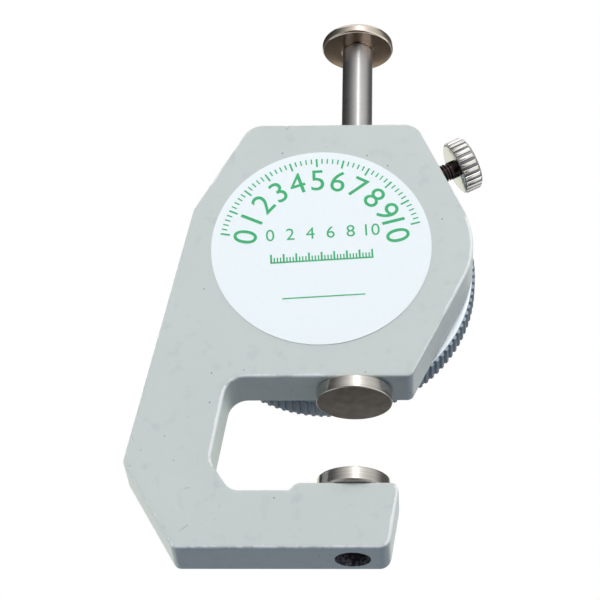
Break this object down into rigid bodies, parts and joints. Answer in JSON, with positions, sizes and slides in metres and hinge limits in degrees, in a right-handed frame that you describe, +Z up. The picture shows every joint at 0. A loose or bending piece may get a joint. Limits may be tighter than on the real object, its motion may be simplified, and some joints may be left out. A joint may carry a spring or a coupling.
{
  "type": "dial thickness gauge",
  "caption": "Pocket dial thickness gauge with a C-shaped cast frame, flat contact discs, a lift button on a sprung spindle, a knurled bezel and a spindle lock screw.",
  "frame": {"origin": "spindle axis in the plane of the base, at the mouth of the base hole", "axes": "+Z up the spindle toward the lift button, -Y out of the dial, the throat opens to -X and the spine is at +X"},
  "size_m": [0.0553, 0.0169, 0.0942],
  "materials": {
    "frame_enamel": "satin grey enamel on a casting",
    "label_film": "white printed film",
    "brass": "machined",
    "ground_steel": "ground and polished",
    "plated_steel": "bright plated",
    "pin_steel": "drawn",
    "dark_steel": "blackened",
    "spring_steel": "tempered wire and strip",
    "black_enamel": "matt black",
    "dial_enamel": "white printed enamel",
    "black_plastic": "moulded",
    "clear_crystal": "clear polished",
    "bezel_alloy": "turned and knurled"
  },
  "bodies": {
    "frame": {"frame": "frame_enamel", "back_label": "label_film", "upper_bush": "brass", "lower_bush": "brass", "anvil": "ground_steel", "anvil_screw": "dark_steel", "return_spring": "spring_steel", "spring_post": "pin_steel", "pivot_bush": "brass", "bridge_plate": "brass", "bridge_screws": "pin_steel", "hairspring": "spring_steel", "hairspring_stud": "brass", "bezel_wire": "spring_steel"},
    "spindle": {"spindle": "ground_steel", "rack": "brass", "guide_pin": "pin_steel", "contact_disc": "ground_steel", "lift_button": "plated_steel"},
    "pointer": {"pinion_shaft": "brass", "hairspring_collet": "brass", "pointer": "black_enamel", "pointer_cap": "plated_steel"},
    "bezel": {"bezel": "bezel_alloy", "dial_plate": "dial_enamel", "dial_clip_ring": "spring_steel", "spacer_ring": "black_plastic", "crystal": "clear_crystal"},
    "lock_pad": {"lock_pad": "brass"},
    "lock_screw": {"lock_screw": "dark_steel", "lock_knob": "plated_steel"}
  },
  "joints": [
    {"name": "spindle_slide", "type": "slide", "parent": "frame", "child": "spindle", "axis": [0, 0, 1], "range_m": [-0.01303, 0], "deforming": ["return_spring"]},
    {"name": "pointer_turn", "type": "hinge", "parent": "frame", "child": "pointer", "pos_m": [0.00434, 0, 0.0516], "axis": [0, 1, 0], "range_deg": [-480, 5], "deforming": ["hairspring"]},
    {"name": "bezel_turn", "type": "hinge", "parent": "frame", "child": "bezel", "pos_m": [0.00434, 0, 0.0516], "axis": [0, 1, 0], "continuous": true},
    {"name": "lock_advance", "type": "slide", "parent": "frame", "child": "lock_pad", "axis": [-0.8902, 0, 0.4555], "range_m": [0, 0.001]},
    {"name": "lock_turn", "type": "hinge", "parent": "lock_pad", "child": "lock_screw", "pos_m": [0, 0, 0.06], "axis": [-0.8902, 0, 0.4555], "range_deg": [0, 720]}
  ],
  "couplings": [
    {"joint": "pointer_turn", "follows": "spindle_slide", "rad_per_m": 628.32},
    {"joint": "lock_turn", "follows": "lock_advance", "rad_per_m": 12566}
  ]
}
